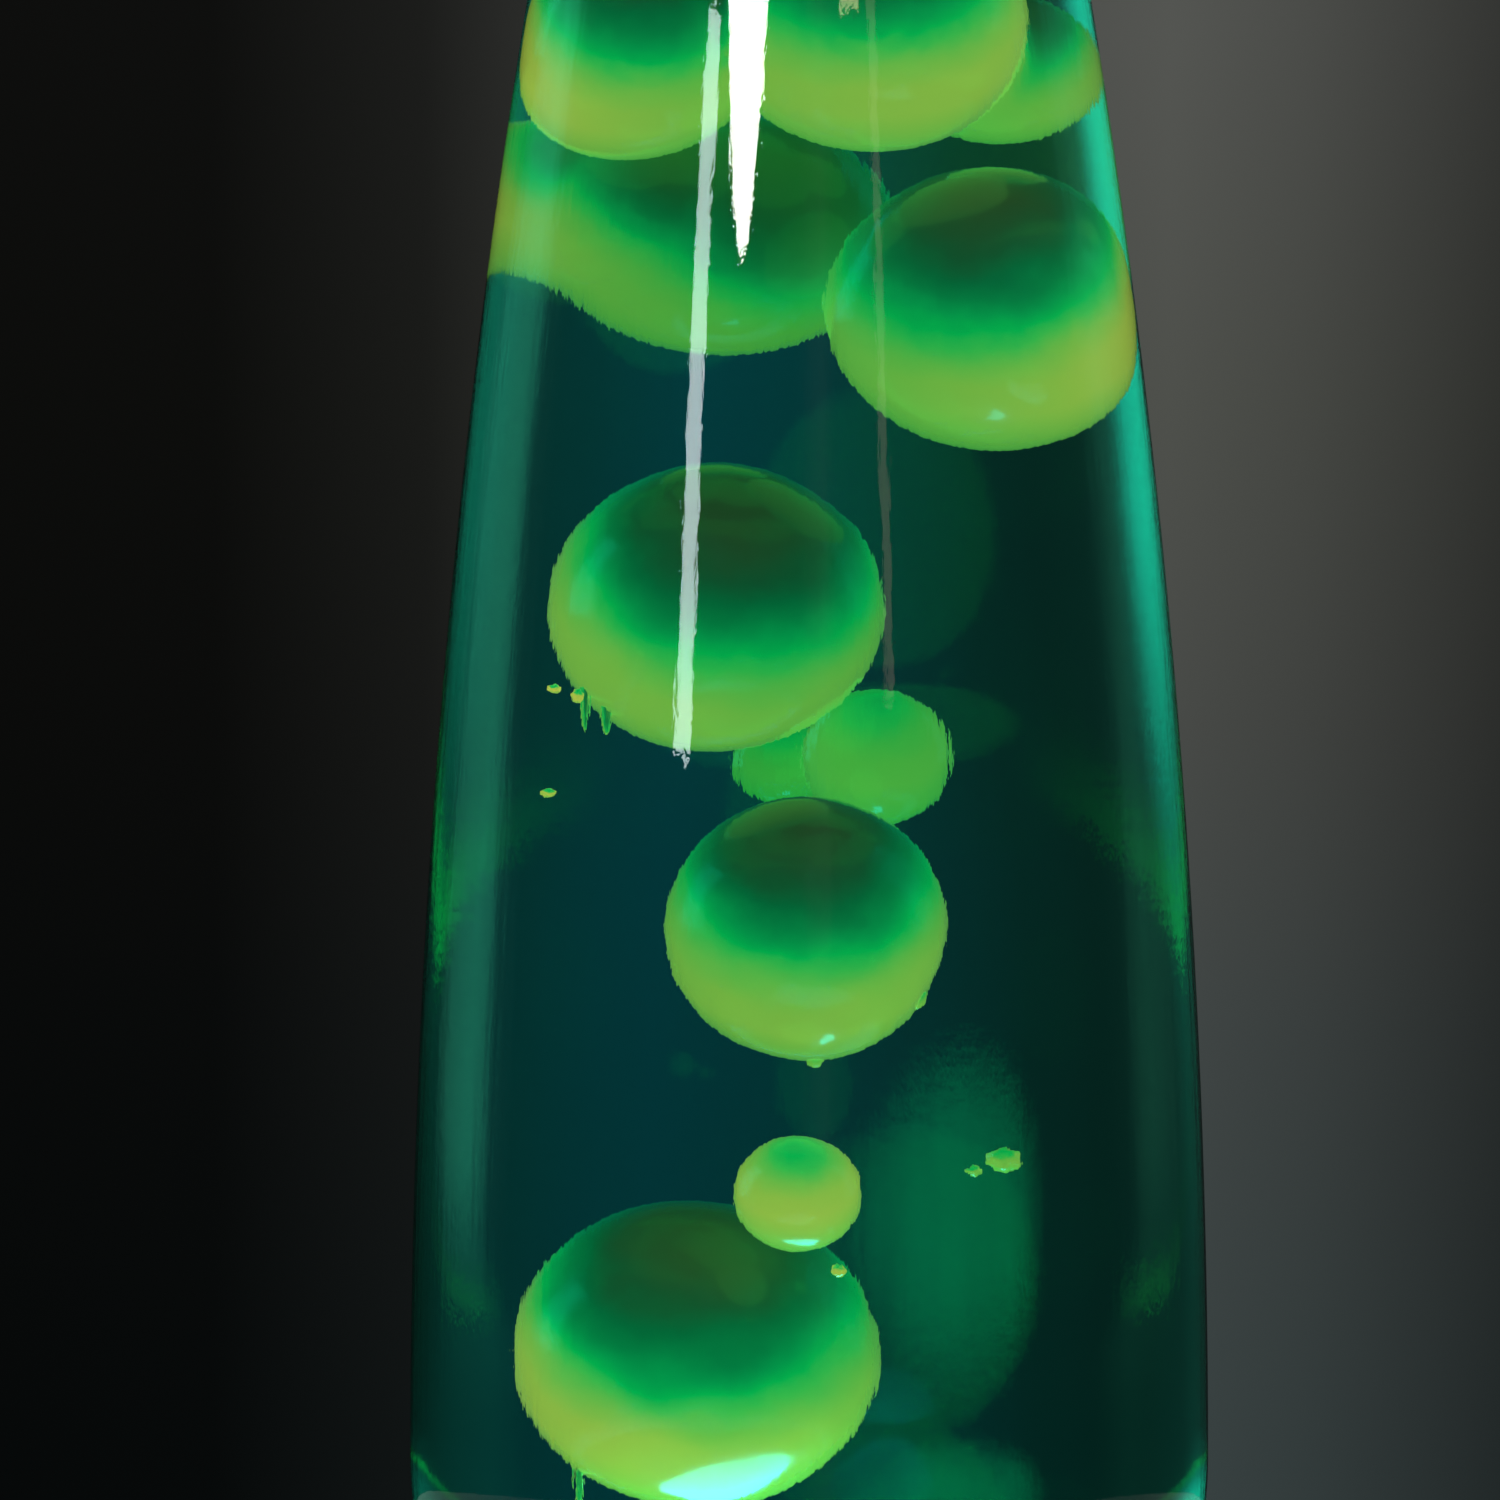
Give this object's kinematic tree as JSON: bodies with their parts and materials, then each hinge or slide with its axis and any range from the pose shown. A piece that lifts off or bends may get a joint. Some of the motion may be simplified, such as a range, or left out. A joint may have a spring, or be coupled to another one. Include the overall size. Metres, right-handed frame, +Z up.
{
  "type": "lava lamp",
  "caption": "Lava lamp with a tapered glass globe of dyed liquid and wax blobs on a waisted spun-aluminium base, with a tapered cap.",
  "frame": {"origin": "floor level under the middle of the base", "axes": "+Z up along the lamp's axis, front towards -Y, cord inlet towards +Y"},
  "size_m": [0.104, 0.1044, 0.413],
  "materials": {
    "globe_glass": "clear blown glass, slightly wavy",
    "liquid": "deep blue-teal dyed liquid",
    "wax": "lime-green wax, lit from below",
    "coil_wire": "drawn spring wire",
    "crown_tin": "tinplate",
    "crown_seal": "soft sealing compound",
    "cap_aluminium": "spun and satin polished",
    "cap_felt": "thin felt",
    "base_aluminium": "spun and satin polished",
    "rivet_aluminium": "plain, domed flat",
    "zinc_steel": "zinc plated",
    "plate_paint": "black enamel, satin",
    "black_rubber": "moulded",
    "seat_rubber": "soft gasket",
    "holder_moulding": "phenolic moulding",
    "brass": "plain, lightly tarnished",
    "shell_nickel": "nickel-plated brass",
    "bulb_glass": "lightly frosted, lit warm white",
    "bulb_insulator": "black vitrite",
    "solder": "solder bead",
    "filament_wire": "glowing fine coil",
    "stem_glass": "clear"
  },
  "bodies": {
    "base": {"upper_cup": "base_aluminium", "lower_skirt": "base_aluminium", "waist_rivets": "rivet_aluminium", "rivet_washers": "zinc_steel", "seat_ring": "zinc_steel", "seat_gasket": "seat_rubber", "bottom_plate": "plate_paint", "plate_screws": "zinc_steel", "rubber_feet": "black_rubber", "cord_grommet": "black_rubber", "socket_bracket": "zinc_steel", "threaded_nipple": "zinc_steel", "nipple_nut": "zinc_steel", "nipple_washer": "zinc_steel", "socket_housing": "holder_moulding", "socket_shell": "brass", "centre_contact": "brass", "socket_terminals": "brass", "terminal_screws": "brass"},
    "globe": {"glass_globe": "globe_glass", "liquid_fill": "liquid", "wax_pool": "wax", "wax_beads": "wax", "heating_coil": "coil_wire", "crown_cap": "crown_tin", "crown_liner": "crown_seal"},
    "cap": {"top_cap": "cap_aluminium", "cap_pad": "cap_felt"},
    "bulb_end": {"bulb_tip": "solder", "bulb_insulator": "bulb_insulator"},
    "bulb": {"bulb_envelope": "bulb_glass", "bulb_shell": "shell_nickel", "bulb_stem": "stem_glass", "bulb_leads": "filament_wire", "bulb_filament": "filament_wire"},
    "wax_top": {"wax_top": "wax"},
    "wax_lower": {"wax_blob_lower": "wax"},
    "wax_small": {"wax_blob_small": "wax"},
    "wax_middle": {"wax_blob_middle": "wax"},
    "wax_pair_right": {"wax_blob_pair_right": "wax"},
    "wax_pair_left": {"wax_blob_pair_left": "wax"},
    "wax_upper": {"wax_blob_upper": "wax"},
    "wax_right": {"wax_blob_right": "wax"},
    "wax_back": {"wax_blob_back": "wax"}
  },
  "joints": [
    {"name": "globe_lift", "type": "slide", "parent": "base", "child": "globe", "axis": [0, 0, 1], "range_m": [0, 0.08]},
    {"name": "cap_lift", "type": "slide", "parent": "globe", "child": "cap", "axis": [0, 0, 1], "range_m": [0, 0.07]},
    {"name": "bulb_rise", "type": "slide", "parent": "base", "child": "bulb_end", "axis": [0, 0, 1], "range_m": [0, 0.0115]},
    {"name": "bulb_turn", "type": "hinge", "parent": "bulb_end", "child": "bulb", "pos_m": [0, 0, 0.03], "axis": [0, 0, 1], "range_deg": [0, 1440]},
    {"name": "wax_top_drift", "type": "slide", "parent": "globe", "child": "wax_top", "axis": [0, 0, 1], "range_m": [-0.0015, 0.005], "deforming": ["liquid_fill"]},
    {"name": "wax_lower_drift", "type": "slide", "parent": "globe", "child": "wax_lower", "axis": [0, 0, 1], "range_m": [-0.006, 0.006], "deforming": ["liquid_fill"]},
    {"name": "wax_small_drift", "type": "slide", "parent": "globe", "child": "wax_small", "axis": [0, 0, 1], "range_m": [-0.006, 0.006], "deforming": ["liquid_fill"]},
    {"name": "wax_middle_drift", "type": "slide", "parent": "globe", "child": "wax_middle", "axis": [0, 0, 1], "range_m": [-0.005, 0.005], "deforming": ["liquid_fill"]},
    {"name": "wax_pair_right_drift", "type": "slide", "parent": "globe", "child": "wax_pair_right", "axis": [0, 0, 1], "range_m": [-0.005, 0.005], "deforming": ["liquid_fill"]},
    {"name": "wax_pair_left_drift", "type": "slide", "parent": "globe", "child": "wax_pair_left", "axis": [0, 0, 1], "range_m": [-0.005, 0.005], "deforming": ["liquid_fill"]},
    {"name": "wax_upper_drift", "type": "slide", "parent": "globe", "child": "wax_upper", "axis": [0, 0, 1], "range_m": [-0.005, 0.004], "deforming": ["liquid_fill"]},
    {"name": "wax_right_drift", "type": "slide", "parent": "globe", "child": "wax_right", "axis": [0, 0, 1], "range_m": [-0.006, 0.0015], "deforming": ["liquid_fill"]},
    {"name": "wax_back_drift", "type": "slide", "parent": "globe", "child": "wax_back", "axis": [0, 0, 1], "range_m": [-0.006, 0.004], "deforming": ["liquid_fill"]}
  ],
  "couplings": [
    {"joint": "bulb_rise", "follows": "bulb_turn", "m_per_rad": 0.00044913}
  ]
}
